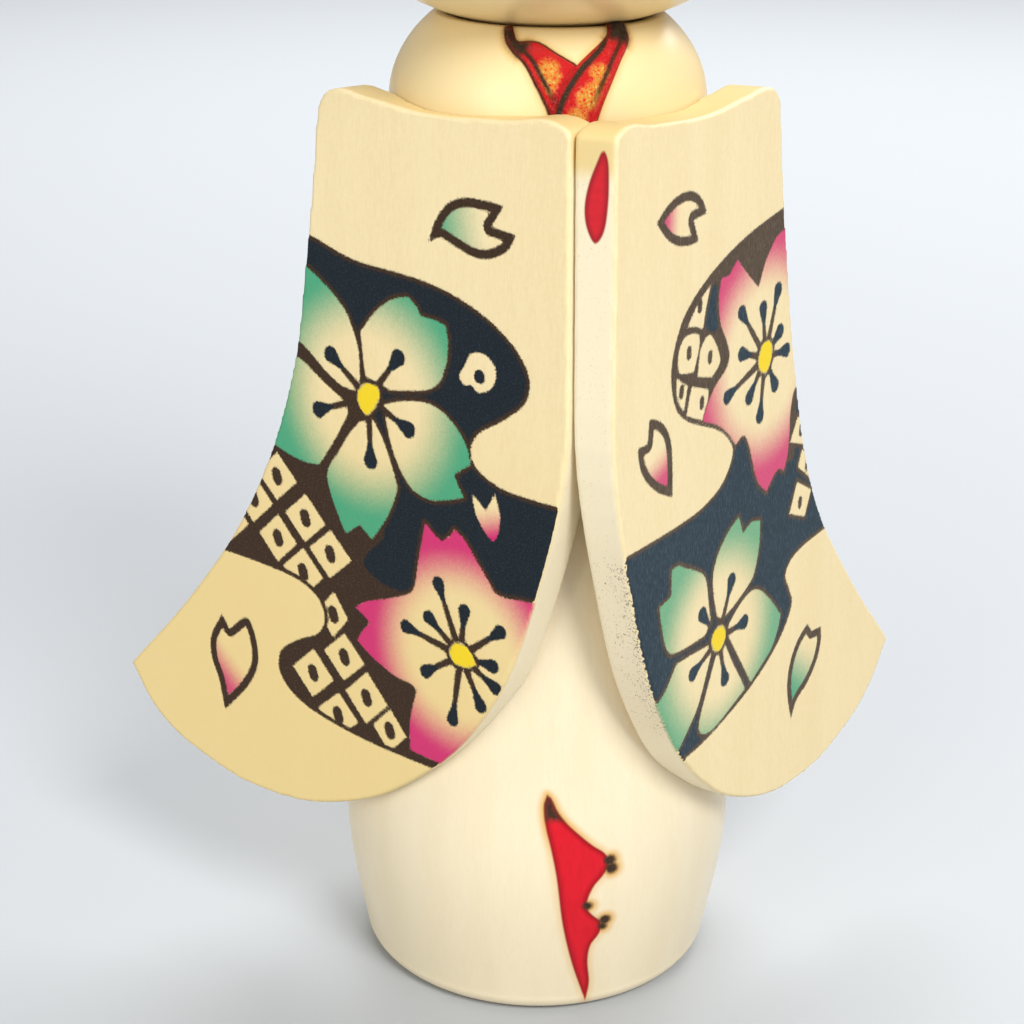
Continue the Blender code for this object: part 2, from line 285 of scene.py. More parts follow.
RIGHT_LOOSE_PINK = (
    [35.3, 36.8], (36.6, 41.8), (38.2, 45.3), (38.2, 48.8), [35.9, 53], [34.3, 50.9], (30.6, 53.8),
    (28.7, 50.8), (28.3, 46.6), (30.4, 42.3))
# Each blossom: its petals, colour, middle, airbrush, anthers, their radius, and yellow heart.  The
# airbrush starts and is full at two distances from the middle, and then has the strength given.
RIGHT_BLOSSOMS = (
    ([RIGHT_PINK], PINK, (-10.9, 59.5), (8.5, 16.6, 0.97), RIGHT_PINK_ANTHERS, 1.1, RIGHT_PINK_HEART),
    (RIGHT_GREEN_PETALS, GREEN, (7.3, 93.9), (8.0, 18.2, 0.94), RIGHT_GREEN_ANTHERS, 1.3,
     RIGHT_GREEN_HEART))
# Each loose petal: its outline, its colour, and where the airbrush starts and is full.
RIGHT_LOOSE = ((RIGHT_LOOSE_GREEN, GREEN, (-13, 121.5), (-4, 119.5)),
               (RIGHT_LOOSE_PINK, PINK, (31.8, 46), (35.4, 41.4)))


# ==== The left board's drawing (the doll's left, at +X) ====

LEFT_CLOUD = (
    (26, 119.6), (20, 118.8), (13.4, 117.6), (7.2, 116), (0, 113.2), (-5.9, 109.5), (-8.8, 105.3),
    (-9.8, 101), (-8.6, 96.6), (-5.9, 94.2), (-2.2, 92.5), (1.6, 90.9), (4.6, 88.9), (6.2, 86.2),
    (3.5, 82.5), (-1.5, 80.5), (-7, 79.8), (-14.7, 79.5), [-28, 79.3], [-26, 60], [-12, 41],
    [-8.6, 43.1], (-2.1, 43.8), (4.2, 45.2), (11.3, 47.4), (16.7, 49.9), (21.3, 53.2), (23.7, 56.8),
    (22.6, 59.6), (21.6, 62), (23.4, 64), (27.9, 65.1), [40, 66], [34, 95])
LEFT_DARK = (
    [-32, 84], (5, 84), (8.4, 89), [11, 88], [14, 80], [24, 80], [25, 94], [42, 80], [42, 38],
    [-32, 38])
LEFT_DARK_PATCH = ([0.8, 112.2], (2.6, 110.8), (2.6, 105.8), (0.4, 105), (-0.9, 107))
LEFT_PINK = (
    [3.3, 112.3], [5.4, 112.2], [7.6, 114], (10.3, 111.4), [13.4, 108.7], (15.3, 112), (18.1, 114.8),
    [20, 115.6], [30, 115], [28, 92], (24.1, 91), (22.7, 87.6), (22.5, 84.5), (22, 81.4), [20.9, 79],
    (19.5, 79.8), [18.2, 79.4], (17, 78.4), [15.8, 77.3], (13.4, 79.4), (11.9, 82.6), (10.7, 86),
    (9.2, 87.9), [7, 87.1], (4.7, 89.6), (1.7, 91.6), [-1.8, 93], (-0.7, 94.8), (1.3, 97.1), (4.4, 99),
    (5.4, 100.7), (4.7, 102.9), (3.1, 105.8), (2.6, 109.2))
LEFT_PINK_HEART = (
    (13.3, 97.9), (14.4, 100), (16.3, 100.3), (17.3, 99.2), (17, 97.3), (15.6, 95.6), (13.8, 96.4))
LEFT_PINK_ANTHERS = (
    (8.8, 106.1), (14.7, 105.4), (18.9, 107.2), (19.5, 100.9), (21.4, 97.6), (18.1, 93.1),
    (13.8, 89.5), (10.8, 93.1), (4.8, 94.8), (8.8, 100.1))
LEFT_GREEN_PETALS = (
    ([0, 62], (-0.6, 65.3), (-1.3, 69.1), (-2.6, 70.6), (-6.7, 72.8), (-8.5, 73.7), [-10.2, 73.7],
     [-10.4, 69.8], [-13.5, 69.1], (-12.9, 65.8), (-11.9, 62.4), (-10.6, 61.1), (-6.3, 60.6),
     [-1.7, 60.6]),
    ([1.7, 62.4], (0.8, 66.2), (0.8, 69.5), (2.5, 72.4), (5.4, 74.7), [7.9, 75.8], [9, 72.9],
     (11.5, 73.8), [14, 73.3], (13.7, 69.5), (12.1, 65.3), (10.2, 64), (6.7, 62.5), [3.3, 61.4]),
    ([5, 59.9], (8.3, 62), (11.5, 62.9), (13.8, 62.3), (17.1, 59.5), [20.2, 56], (19.4, 54),
     (17.5, 51.4), (15, 50), [11.3, 48.1], (8.3, 52.8), (5.8, 56.6), [4.6, 58.3]),
    ([3.8, 57.4], (5.8, 53.7), (8.3, 49.9), [9.6, 47.7], (5.8, 46.4), (0.8, 44.9), (-1.7, 44.9),
     (-3.3, 45.9), (-3.4, 47.5), (-1.3, 51.6), [1.3, 56.2]),
    ([0, 57], (-3.3, 50.8), (-5, 48.8), [-9.6, 44.9], [-14, 43], [-22, 54], [-14.8, 54.6],
     (-12.5, 55.8), (-10.6, 57.6), [-9.4, 59], (-5.4, 58.9), [-0.8, 58.7]))
LEFT_GREEN_HEART = ((0.1, 59.2), (1.6, 60.6), (3.6, 60.2), (4, 58.2), (2.6, 56.8), (0.8, 57.2))
LEFT_GREEN_ANTHERS = ((-2.3, 64.1), (5.8, 66.6), (9.4, 58.7), (3.8, 51.6), (-5, 55.8))
# The lattice's cells here are drawn one by one: an outline, then the middle of its dot.
LEFT_CELLS = (
    (([0.5, 112], (-2.6, 110.2), [-5.6, 107.4], (-3.4, 107), [-1.6, 106.2], (-0.9, 108.6)),
     (-2.3, 109.6)),
    (((-7.5, 105), (-6, 106.2), (-2.7, 105.7), (-2.6, 104), [-4, 100.7], (-7.6, 101.5), (-8, 103.2)),
     (-5.2, 103.7)),
    (((-2, 103.8), (0.2, 105), (2.3, 102.4), (2.8, 100.4), [0.7, 98.8], [-3.1, 99.8]), (0.2, 101.8)),
    (([-8.5, 101], [-5.6, 99.2], [-6.7, 95.7], (-8.3, 98)), (-7.2, 98.7)),
    (([-4.6, 98.8], [-0.3, 97.3], (-0.4, 96), [-1.9, 93.2], [-6, 95]), (-2, 95.8)),
    (([25, 76], [29.3, 73.5], [27.4, 69.7], [22.7, 71.6]), (25.9, 72.4)),
    (([26.4, 80.9], [31, 77], [29.2, 75.4], [25.2, 78.3]), (28, 78)),
    (([25, 86.4], [29, 85], [27, 81.4], [22.8, 83]), (26, 84)))
LEFT_LOOSE_UPPER = (
    [-12.8, 123.1], (-10.6, 124.6), (-8.1, 125.6), (-5.3, 125.9), (-3, 125.3), (-1.3, 123.9),
    [-0.3, 122], [-3.8, 121.8], [-2.5, 118.7], (-4.6, 118.5), (-7.5, 119), (-9.7, 120), (-11.4, 121.5))
LEFT_LOOSE_LOWER = (
    [-15.2, 97.1], (-13.1, 96.3), (-11, 94.5), (-10, 92.2), (-9.7, 88.9), [-9.8, 84.3], (-13.1, 85.9),
    (-16.2, 88.4), (-17.8, 91.1), [-18.2, 93.8], [-15.8, 93.7])
LEFT_LOOSE_GREEN = (
    [28.6, 51.4], [30.1, 49.6], [33, 49.3], (33.1, 46.9), (31.7, 43.8), (28.8, 41.2), (25.3, 39.4),
    [23.7, 36.9], (22.7, 40.3), (22.4, 43.7), (23.4, 47), (25.6, 49.7))
LEFT_BLOSSOMS = (
    ([LEFT_PINK], PINK, (15.3, 98), (9.0, 17.5, 0.92), LEFT_PINK_ANTHERS, 1.15, LEFT_PINK_HEART),
    (LEFT_GREEN_PETALS, GREEN, (2.1, 58.7), (8.0, 17.0, 0.82), LEFT_GREEN_ANTHERS, 1.2,
     LEFT_GREEN_HEART))
LEFT_LOOSE = ((LEFT_LOOSE_UPPER, PINK, (-6.8, 122.3), (-10.6, 122.8)),
              (LEFT_LOOSE_LOWER, PINK, (-14, 92), (-12.2, 87.5)),
              (LEFT_LOOSE_GREEN, GREEN, (29.5, 48), (24.5, 41.5)))

FILAMENT_AT_HEART = 0.68  # half widths, mm
FILAMENT_AT_ANTHER = 0.38
ANTHER_TAIL = 2.5  # the anther tapers back along its filament
LOOSE_LINE = 1.3  # width of a loose petal's burnt outline
LOOSE_STRENGTH = 0.9
CELL_LINE = 0.75  # burnt line that the cloud keeps round a cell
RIGHT_DOT = (0.95, 0.9, 0.35)  # a cell's dot: half width, length and lean
LEFT_DOT = (0.58, 0.9, 0.1)


def stamens(drawing, centre, anthers, anther_radius):
    centre = np.array(centre, float)
    for anther in anthers:
        tip = np.array(anther, float)
        inward = (centre - tip) / np.linalg.norm(centre - tip)
        drawing.burn(drop(drawing.places, centre, tip, FILAMENT_AT_HEART, FILAMENT_AT_ANTHER))
        drawing.darken(drop(drawing.places, tip, tip + inward * ANTHER_TAIL,
                            anther_radius, FILAMENT_AT_ANTHER))


def heart(drawing, points):
    """The yellow middle of a blossom, inside its burnt ring."""
    area = shape(drawing.places, points)
    drawing.burn(area - RIM)
    drawing.leave(area)
    drawing.colour(area, YELLOW, np.where(area < 0, 1.0, 0.0))


def blossom(drawing, petals, colour, centre, fade, anthers, anther_radius, middle):
    """Bare petals airbrushed from their tips inwards, with burnt stamens and a yellow heart."""
    start, full, strength = fade
    reach = spot(drawing.places, centre, 0.0)
    for points in petals:
        area = shape(drawing.places, points)
        drawing.leave(area)
        drawing.colour(area, colour, strength * ease(start, full, reach))
    stamens(drawing, centre, anthers, anther_radius)
    heart(drawing, middle)


def cell(drawing, area, place, half_width, length, lean):
    drawing.leave(area)
    half = np.array((lean, 1.0)) * length / 2
    drawing.burn(drop(drawing.places, place - half, place + half, half_width, half_width))


def loose_petal(drawing, points, colour, start, full):
    area = shape(drawing.places, points)
    drawing.burn(np.abs(area + LOOSE_LINE / 2) - LOOSE_LINE / 2)
    drawing.colour(area + LOOSE_LINE, colour,
                   LOOSE_STRENGTH * airbrush(drawing.places, start, full))


def flowers(drawing, blossoms, loose_petals):
    for values in blossoms:
        blossom(drawing, *values)
    for values in loose_petals:
        loose_petal(drawing, *values)


def draw_right(places):
    drawing = Drawing(places)
    cloud = shape(places, RIGHT_CLOUD)
    drawing.burn(cloud)
    drawing.dark = np.maximum(shape(places, RIGHT_DARK), cloud + RIM)
    for back, up, half_width, half_height in RIGHT_CELLS:
        area = diamond(places, (back, up), half_width, half_height)
        cell(drawing, np.maximum(area, cloud + CELL_LINE), (back, up), *RIGHT_DOT)
    drawing.leave(shape(places, RIGHT_BUD), 0.0)
    drawing.darken(spot(places, RIGHT_BUD_EYE, BUD_EYE_RADIUS))
    falling = shape(places, RIGHT_FALLING)
    drawing.leave(falling, 0.0)
    drawing.colour(falling, PINK, airbrush(places, (-14, 83.2), (-15.8, 78.4)))
    flowers(drawing, RIGHT_BLOSSOMS, RIGHT_LOOSE)
    return drawing


def draw_left(places):
    drawing = Drawing(places)
    cloud = shape(places, LEFT_CLOUD)
    drawing.burn(cloud)
    dark = np.minimum(shape(places, LEFT_DARK), shape(places, LEFT_DARK_PATCH))
    drawing.dark = np.maximum(dark, cloud + RIM)
    for points, dot in LEFT_CELLS:
        cell(drawing, shape(places, points), dot, *LEFT_DOT)
    flowers(drawing, LEFT_BLOSSOMS, LEFT_LOOSE)
    return drawing


# ==== The sleeve boards ====

# The red brush stroke on the left board's front edge: (depth under the face, up).
EDGE_STROKE = (
    (2.1, 133.9), (3.0, 132.4), (4.3, 129.4), (4.9, 126.4), (4.5, 123.8), (3.2, 122.0), (1.9, 123.6),
    (1.3, 127), (1.2, 130.2), (1.4, 132.8))
FRONT_REACH = 0.7  # mm, points this near a board's front line are on its front edge
FRONT_DEPTH = (0.2, 6.5)  # mm under the face, the part of that edge that has colour
ROUNDING = (0.3, 0.8)  # mm under the face, where the face has turned into the edge
WEAR = {-1: 0.0, 1: 0.6}  # how much the ink has rubbed off along the grain, by side
TIP_SHADE = {-1: 0.85, 1: 0.15}  # how much painted shade darkens the wood towards each board's tip
TIP_SHADE_HEIGHTS = (45, 118)  # mm, from all of it to none of it
TIP_SHADE_LEAN = 0.3  # both heights rise by this slope towards the back
TOP_SHADE = 0.8  # how much painted shade darkens the top edge
TOP_HEIGHTS = (129, 132)  # mm, from none of it to all of it
SPECKLE_END = (44, 50)  # mm, the ink spattered on the front edge fades in between these heights
SPECKLE_START = (76, 84)  # and out between these
SPECKLE_DEPTH = (0.2, 5.0)  # it thins out over this distance under the face
SPECKLE_THINNING = 0.3
RAGGED = 0.55  # mm, how unevenly the ink breaks off over the left board's edge
RAGGED_DEPTH = (0.02, 1.6)  # mm under the face, where it does
RAGGED_SEED = 5


def board_axes(node):
    """A board's side, its axes (back, up, out) and the distance of its large outer face."""
    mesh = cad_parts[node].data
    facing = {}
    for face in mesh.polygons:
        key = tuple(round(value, 3) for value in face.normal)
        facing.setdefault(key, [0.0, face])
        facing[key][0] += face.area
    front = [entry for key, entry in facing.items() if key[1] < -0.5]
    face = max(front, key=lambda entry: entry[0])[1]
    out = face.normal.normalized()
    side = 1 if out.x > 0 else -1
    back = (Vector((-out.y, out.x, 0.0)) * side).normalized()
    up = out.cross(back) * side
    return side, back, up, out, face.center.dot(out) / MM


def welded(mesh):
    bm = bmesh.new()
    bm.from_mesh(mesh)
    bmesh.ops.remove_doubles(bm, verts=bm.verts, dist=MM / 100)
    copy = bpy.data.meshes.new(mesh.name + " welded")
    bm.to_mesh(copy)
    bm.free()
    return copy


def linked(name, data):
    obj = bpy.data.objects.new(name, data)
    bpy.context.scene.collection.objects.link(obj)
    return obj


def voxelled(mesh, cell_size):
    """The mesh rebuilt from small even cells."""
    obj = linked("rebuild", mesh)
    remesh = obj.modifiers.new("Voxels", "REMESH")
    remesh.mode = "VOXEL"
    remesh.voxel_size = cell_size
    target = linked("target", mesh)
    wrap = obj.modifiers.new("Surface", "SHRINKWRAP")
    wrap.target = target
    bpy.context.view_layer.update()
    fine = bpy.data.meshes.new_from_object(obj.evaluated_get(bpy.context.evaluated_depsgraph_get()))
    bpy.data.objects.remove(obj)
    bpy.data.objects.remove(target)
    return fine


def points_of(mesh):
    flat = np.zeros(len(mesh.vertices) * 3, np.float32)
    mesh.vertices.foreach_get("co", flat)
    return flat.reshape(-1, 3).astype(float)


def put_points(mesh, points):
    mesh.vertices.foreach_set("co", points.astype(np.float32).ravel())
    mesh.update()


def attach(mesh, name, values, kind="FLOAT"):
    field = {"FLOAT": "value", "FLOAT_VECTOR": "vector", "FLOAT_COLOR": "color"}[kind]
    layer = mesh.attributes.new(name, kind, "POINT")
    layer.data.foreach_set(field, np.ascontiguousarray(values, np.float32).ravel())


def attach_drawing(mesh, drawing, grain):
    for name in ("burnt", "dark", "red", "scorch"):
        attach(mesh, name, getattr(drawing, name))
    attach(mesh, "paint", drawing.paint, "FLOAT_COLOR")
    attach(mesh, "grain", grain, "FLOAT_VECTOR")


def shown(name, mesh, material, node, body):
    """Puts a finished mesh in the scene in place of its CAD node."""
    obj = linked(name, mesh)
    mesh.materials.clear()
    mesh.materials.append(material)
    mesh.shade_smooth()
    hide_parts(node)
    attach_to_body(obj, body)
    return obj


def front_line(points):
    """How far forward the board reaches at the height of each point."""
    bins = np.round(points[:, 1] / 0.5).astype(int)
    first = bins.min()
    reach = np.full(bins.max() - first + 1, np.inf)
    np.minimum.at(reach, bins - first, points[:, 0])
    return reach[bins - first]


def front_edge(drawing, points, under):
    """Draws the red stroke on a board's front edge; gives how much spattered ink is on it."""
    heights = points[:, 1]
    nearest, deepest = FRONT_DEPTH
    at_front = points[:, 0] < front_line(points) + FRONT_REACH
    on_edge = at_front & (under > nearest) & (under < deepest)
    stroke_area = shape(np.column_stack([under, heights]), EDGE_STROKE)
    drawing.redden(np.where(on_edge, stroke_area, FAR))
    fade = ease(*SPECKLE_END, heights) * (1 - ease(*SPECKLE_START, heights))
    return np.where(on_edge, fade * (1 - SPECKLE_THINNING * ease(*SPECKLE_DEPTH, under)), 0.0)


def sleeve_board(node, draw, material):
    side, back, up, out, face = board_axes(node)
    to_board = Matrix.Scale(1 / MM, 4) @ Matrix((back, up, out)).to_4x4()
    mesh = welded(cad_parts[node].data)
    mesh.transform(to_board)
    fine = voxelled(mesh, BOARD_CELL)
    points = points_of(fine)
    points[np.abs(face - points[:, 2]) < FACE_SNAP, 2] = face
    under = face - points[:, 2]
    drawing = draw(points[:, :2] + np.array((side * DRAWING_SHIFT, 0.0)))
    beyond_face = (under - DRAWN_DEPTH) * 4
    drawing.burnt = np.maximum(drawing.burnt, beyond_face)
    drawing.dark = np.maximum(drawing.dark, beyond_face)
    drawing.paint[:, 3] *= 1 - ease(DRAWN_DEPTH, 2 * DRAWN_DEPTH, under)
    has_ink_over_edge = side > 0
    speckle = front_edge(drawing, points, under) if has_ink_over_edge else np.zeros(len(points))
    points[:, 2] -= BURN_DEPTH * (1 - ease(-0.2, 0.2, drawing.burnt))
    if has_ink_over_edge:
        ragged = np.random.default_rng(RAGGED_SEED).normal(0, RAGGED, len(points))
        nearest, deepest = RAGGED_DEPTH
        drawing.burnt += ragged * ((under > nearest) & (under < deepest))
    put_points(fine, points)
    fine.transform(to_board.inverted())
    attach_drawing(fine, drawing, points)
    # Painted shade: darker wood towards each board's tip, much more on one board, and on the top edge.
    is_top = ease(*ROUNDING, under) * ease(*TOP_HEIGHTS, points[:, 1])
    shade_towards_tip = 1 - ease(*TIP_SHADE_HEIGHTS, points[:, 1] - TIP_SHADE_LEAN * points[:, 0])
    attach(fine, "edge", ease(*ROUNDING, under) - is_top)
    attach(fine, "painted_shade", np.maximum(TIP_SHADE[side] * shade_towards_tip, TOP_SHADE * is_top))
    attach(fine, "worn", np.full(len(points), WEAR[side]))
    attach(fine, "speckle", speckle)
    return shown(node + "_board", fine, material, node, "root")


# ==== The turned pieces ====

SHARP_TURN = 25  # degrees, a profile that turns by more has a corner there


def wall_of(node):
    """The profile of a turned CAD node, (radius, height) in mm, from its top to its bottom."""
    mesh = welded(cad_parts[node].data)
    points = points_of(mesh) / MM
    edges = np.array([tuple(edge.vertices) for edge in mesh.edges])
    flat = (np.abs(points[:, 1]) < 0.002) & (points[:, 0] > 0.5)
    ways = {}
    for start, end in edges[flat[edges].all(1)]:
        ways.setdefault(start, []).append(end)
        ways.setdefault(end, []).append(start)
    ends = [point for point, others in ways.items() if len(others) == 1]
    chain = [max(ends, key=lambda point: points[point, 2])]
    while True:
        onward = [point for point in ways[chain[-1]] if point not in chain]
        if not onward:
            break
        chain.append(onward[0])
    return points[chain][:, [0, 2]]


def running(steps):
    """The sums of the steps so far, from 0."""
    return np.concatenate([[0], np.cumsum(steps)])


def lengths(line):
    return running(np.linalg.norm(np.diff(line, axis=0), axis=1))


def finer(profile, drawn_heights):
    """The profile with its smooth stretches rounded, in small steps where something is drawn."""
    corners = [0]
    for index in range(1, len(profile) - 1):
        before = profile[index] - profile[index - 1]
        after = profile[index + 1] - profile[index]
        turn = math.atan2(before[0] * after[1] - before[1] * after[0], before @ after)
        if math.degrees(abs(turn)) > SHARP_TURN:
            corners.append(index)
    corners.append(len(profile) - 1)
    points = [list(place) if index in corners else tuple(place)
              for index, place in enumerate(profile)]
    smooth = outline(points, closed=False)
    along = lengths(smooth)
    heights = smooth[:, 1]
    is_drawn = np.any([(heights > low) & (heights < high) for low, high in drawn_heights], axis=0)
    pace = np.where(is_drawn, 1 / TURNED_CELL, 1 / PLAIN_CELL)
    effort = running((pace[1:] + pace[:-1]) / 2 * np.diff(along))
    kept = [effort[index * LINE_STEPS] for index in corners]
    stops = []
    for start, end in zip(kept, kept[1:]):
        count = max(1, round(end - start))
        stops += list(np.interp(start + (end - start) * np.arange(count) / count, effort, along))
    stops.append(along[-1])
    return np.column_stack([np.interp(stops, along, smooth[:, axis]) for axis in (0, 1)])


def turned(profile):
    """A mesh turned from a profile, and for each of its points the angle from the front and ring."""
    front = np.arange(-FRONT_HALF_WIDTH, FRONT_HALF_WIDTH, FRONT_STEP)
    rest = 360 - 2 * FRONT_HALF_WIDTH
    back = FRONT_HALF_WIDTH + np.arange(0, rest, rest / round(rest / BACK_STEP))
    angles = (np.concatenate([front, back]) + 180) % 360 - 180
    rings, spokes = len(profile), len(angles)
    turn = np.radians(angles)
    points = np.empty((rings, spokes, 3))
    points[:, :, 0] = profile[:, 0, None] * np.sin(turn)
    points[:, :, 1] = -profile[:, 0, None] * np.cos(turn)
    points[:, :, 2] = profile[:, 1, None]
    index = np.arange(rings * spokes).reshape(rings, spokes)
    after = np.roll(index, -1, axis=1)
    quads = np.stack([index[:-1], index[1:], after[1:], after[:-1]], axis=-1).reshape(-1, 4)
    faces = quads.tolist() + [index[0].tolist(), index[-1][::-1].tolist()]
    mesh = bpy.data.meshes.new("turned")
    mesh.from_pydata(points.reshape(-1, 3).tolist(), [], faces)
    return mesh, np.tile(angles, rings), np.repeat(np.arange(rings), spokes)


def push(points, amount, profile, angles, rings):
    """Moves each point of a turned mesh out along the profile's normal."""
    along = np.gradient(profile, axis=0)
    normal = np.column_stack([-along[:, 1], along[:, 0]])
    normal = (normal / np.linalg.norm(normal, axis=1)[:, None])[rings]
    turn = np.radians(angles)
    points[:, 0] += amount * normal[:, 0] * np.sin(turn)
    points[:, 1] -= amount * normal[:, 0] * np.cos(turn)
    points[:, 2] += amount * normal[:, 1]


def unrolled(angles, heights, girth):
    """Where the points of a turned mesh are on its wall: millimetres round from the front, and up."""
    return np.column_stack([np.radians(angles) * girth, heights])


def around(points, girth, along=float):
    """Drawn points in degrees turned into millimetres round the piece and along its wall."""
    return [type(point)((math.radians(point[0]) * girth, along(point[1]))) for point in points]


def spots(places, marks, girth, along):
    """Distance to the nearest of some round marks, each an angle, a height and a radius."""
    near = [spot(places, around([mark[:2]], girth, along)[0], mark[2]) for mark in marks]
    return np.minimum(np.min(near, axis=0), FAR)


# ---- Body ----

BODY_DRAWN = ((133, 160), (1, 42))  # heights, mm
COLLAR_GIRTH = 20.0  # mm, radius that turns the collar's degrees into millimetres
SLIT_GIRTH = 28.6
DOME_SHADE_HEIGHTS = (60, 135)  # painted shade deepens the wood between these heights
UNDER_BAND = (
    (-30.6, 147.6), (-28.2, 146.1), (-24.3, 144.9), (-18.6, 143.5), (-14.7, 141.5), (-11.7, 139.6),
    (-9.2, 137.6), [-4, 131], [4, 131], (6, 139), [0.8, 143.6], (-6.4, 144.9), (-13, 146),
    (-18, 146.2), (-22.6, 146.1), (-25.4, 147), (-28.6, 148))
UNDER_SIDE = UNDER_BAND[1:7]  # its outer side, which has piping
OVER_BAND = (
    [20.3, 148.2], (17.8, 146.9), (14.6, 146.2), (7.6, 144.9), (1.1, 143.3), (-4.4, 140.8),
    (-7.9, 137.4), [-11, 131], [4.5, 131], (7.5, 136.3), (9.9, 138.7), (14.1, 141.3), (19.2, 143.6),
    (24.5, 145.2), (28, 146.3), [30.5, 148.2])
OVER_SIDE = OVER_BAND[9:15]
OVER_INNER = ((17.5, 147.4), (13.6, 145.6), (7.6, 144.1), (2.2, 142.6), (-3.2, 140), (-7, 136.5))
INNER_LINE = 0.42  # half widths, mm
GROOVE = 0.3
PIPING = 1.15  # mm, width of the narrow strip along a band's outer side
GROOVE_DEPTH = 0.24
GROOVES_CLOSE = 139.0  # mm, the lacquer fills the dark grooves below this height
OVERLAP = 0.15  # mm, the under band reaches under the over band by this
COLLAR_RISE = 0.42  # mm, the lacquered bands stand proud of the wood
OVER_RISE = 0.10  # and the over band of the under band
COLLAR_EDGE = 0.5  # the lacquer rounds down to the wood over this
SOFT_END = 0.3  # the scorched ends fade into the red
GOLD_PATCHES = (
    (-9.4, 142.9, 1.4), (-8.2, 141.2, 1.7), (9.6, 142.2, 1.35), (7.2, 140.3, 1.3), (4.6, 139.4, 1.5),
    (0.6, 137.2, 1.1))
BURNT_ENDS = ((-27.5, 146.6, 2.6), (-22.5, 145.7, 2.0), (26.5, 147.3, 3.0), (19.6, 146.9, 1.6))
SLIT = (
    [-6.4, 39.3], (-7.3, 37.6), (-6.8, 34.4), (-5.2, 30.7), (-3.6, 26.2), (-1.4, 17.4), (2.2, 9.4),
    [7.4, 1.6], (8.0, 5.4), (6.8, 9.8), (7.2, 13.0), (9.6, 15.2), (9.9, 17.2), (7.2, 18.8),
    (5.4, 20.2), (5.5, 21.8), (7.2, 24), (9.9, 25.7), (11.5, 27.4), (10.4, 29.2), (6.8, 30.8),
    (3.2, 32.6), (-1.2, 35.0), (-3.4, 36.6), (-5.2, 38.6))
SLIT_TOP = 35.2  # mm, the slit is burnt black above this height
SLIT_KNOTS = (
    (11.9, 28.0, 0.9), (12.4, 26.6, 0.95), (11.0, 17.6, 0.9), (10.5, 16.4, 0.7), (5.6, 20.6, 0.75))
SLIT_DEPTH = 0.18
KNOT_DEPTH = 0.10


def wall_lengths(wall):
    """A function that gives the distance along the wall of any height on it."""
    order = np.argsort(wall[:, 1], kind="stable")
    along = lengths(wall[order])
    return lambda heights: np.interp(heights, wall[order, 1], along)


def draw_collar(drawing, along, heights):
    """Burns the outlines of the crossed bands; gives their lacquer, their gold and their rise."""
    places = drawing.places

    def drawn(points):
        return around(points, COLLAR_GIRTH, along)

    over = shape(places, drawn(OVER_BAND))
    under = np.maximum(shape(places, drawn(UNDER_BAND)), -OVERLAP - over)
    band = np.minimum(under, over)
    sides = [np.abs(stroke(places, drawn(side), PIPING)) - GROOVE for side in (UNDER_SIDE, OVER_SIDE)]
    grooves = np.maximum(np.minimum(*sides), band)
    rise = COLLAR_RISE * (1 - ease(-COLLAR_EDGE, 0.0, band))
    rise -= GROOVE_DEPTH * (1 - ease(-0.1, 0.25, grooves)) * (band < 0)
    rise += OVER_RISE * (1 - ease(-0.5, 0.0, over))
    ends = np.maximum(spots(places, BURNT_ENDS, COLLAR_GIRTH, along), band - 0.05)
    drawing.burn(ends * SOFT_END)
    drawing.burn(np.maximum(grooves, (GROOVES_CLOSE - heights) * 0.12))
    drawing.burn(np.maximum(stroke(places, drawn(OVER_INNER), INNER_LINE), band))
    drawing.burn(np.maximum(np.abs(under + 0.1) - 0.2, 0.1 - over))
    drawing.singe(np.minimum(ends, band + 0.3), 1.5, 0.55)
    gold = 1 - ease(-0.5, 0.4, spots(places, GOLD_PATCHES, COLLAR_GIRTH, along))
    return band, gold * (1 - ease(-1.2, -0.6, band)), rise


def draw_slit(drawing, along, angles):
    """Paints the red slit, with its burnt top, knots and halo; gives how deep it sinks."""
    places = unrolled(angles, drawing.places[:, 1], SLIT_GIRTH)
    slit = shape(places, around(SLIT, SLIT_GIRTH, along))
    knots = spots(places, SLIT_KNOTS, SLIT_GIRTH, along)
    below_top = along(SLIT_TOP) - places[:, 1]
    tip = np.maximum(slit, below_top)
    drawing.burn(np.minimum(np.maximum(slit * 0.8, tip * 0.3), knots * 0.6))
    drawing.redden(slit)
    drawing.singe(knots, 1.4, 0.8)
    drawing.singe(slit, 1.3, 0.85 - 0.45 * ease(0.0, 8.0, below_top))
    return SLIT_DEPTH * (1 - ease(-0.5, 0.1, slit)) + KNOT_DEPTH * (1 - ease(-0.3, 0.2, knots))


def body_piece(material):
    profile = finer(wall_of("body"), BODY_DRAWN)
    rim = int(np.argmax(profile[:, 1]))
    along = wall_lengths(profile[rim:])
    mesh, angles, rings = turned(profile)
    points = points_of(mesh)
    heights = points[:, 2].copy()
    on_wall = (rings > rim) & (heights > 0.5)
    drawing = Drawing(unrolled(angles, along(heights), COLLAR_GIRTH))
    band, gold, rise = draw_collar(drawing, along, heights)
    sink = draw_slit(drawing, along, angles)
    drawing.burnt = np.where(on_wall, drawing.burnt, FAR)
    push(points, (rise - sink) * on_wall, profile, angles, rings)
    attach_drawing(mesh, drawing, points)
    # Painted shade: the wood deepens towards the dome.
    attach(mesh, "painted_shade", ease(*DOME_SHADE_HEIGHTS, points[:, 2]))
    attach(mesh, "lacquer", np.where(on_wall, band, FAR))
    attach(mesh, "gold", gold)
    put_points(mesh, points * MM)
    return shown("turned_body", mesh, material, "body", "root")


# ---- Head ----

